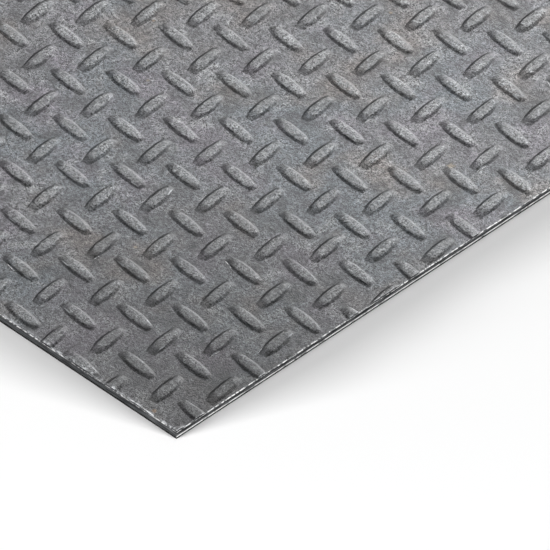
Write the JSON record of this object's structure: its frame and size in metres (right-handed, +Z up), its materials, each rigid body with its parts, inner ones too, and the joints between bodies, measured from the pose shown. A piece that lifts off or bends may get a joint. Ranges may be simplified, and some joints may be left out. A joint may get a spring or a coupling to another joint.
{
  "type": "checker steel plate",
  "caption": "Square cut piece of hot-rolled steel floor plate, flat beneath, with slanting lens-shaped lugs raised across its top for grip.",
  "frame": {"origin": "centre of the underside", "axes": "+X along the plate's length, +Y along its width, +Z up out of the lugged face"},
  "size_m": [0.5, 0.5, 0.0061],
  "materials": {
    "mill_scale_steel": "hot-rolled mill scale, mottled grey, dull"
  },
  "bodies": {
    "root": {"checker_plate": "mill_scale_steel"}
  },
  "joints": []
}
